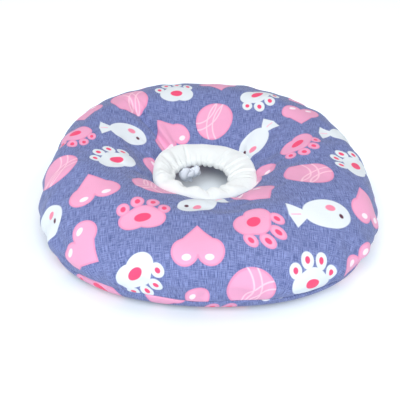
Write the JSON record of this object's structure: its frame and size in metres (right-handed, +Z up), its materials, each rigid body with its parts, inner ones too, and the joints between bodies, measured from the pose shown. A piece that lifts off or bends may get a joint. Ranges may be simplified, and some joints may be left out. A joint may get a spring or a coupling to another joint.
{
  "type": "elizabethan collar",
  "caption": "Soft padded ring collar for a cat: a printed cotton ring, flat underneath, round a plush neck cuff gathered on an elastic drawcord.",
  "frame": {"origin": "on the surface that the collar rests on, under the middle of its outline", "axes": "+Z up through the neck opening, -Y towards the lower front of the ring, +X to the right seen from the front"},
  "size_m": [0.2892, 0.3108, 0.0643],
  "materials": {
    "printed_cotton": "matte woven cotton",
    "white_plush": "soft short plush pile",
    "white_cord": "matte braided elastic cord"
  },
  "bodies": {
    "root": {"padded_ring": "printed_cotton", "lower_panel": "printed_cotton", "neck_cuff": "white_plush", "drawcord": "white_cord", "drawcord_knot": "white_cord"}
  },
  "joints": []
}
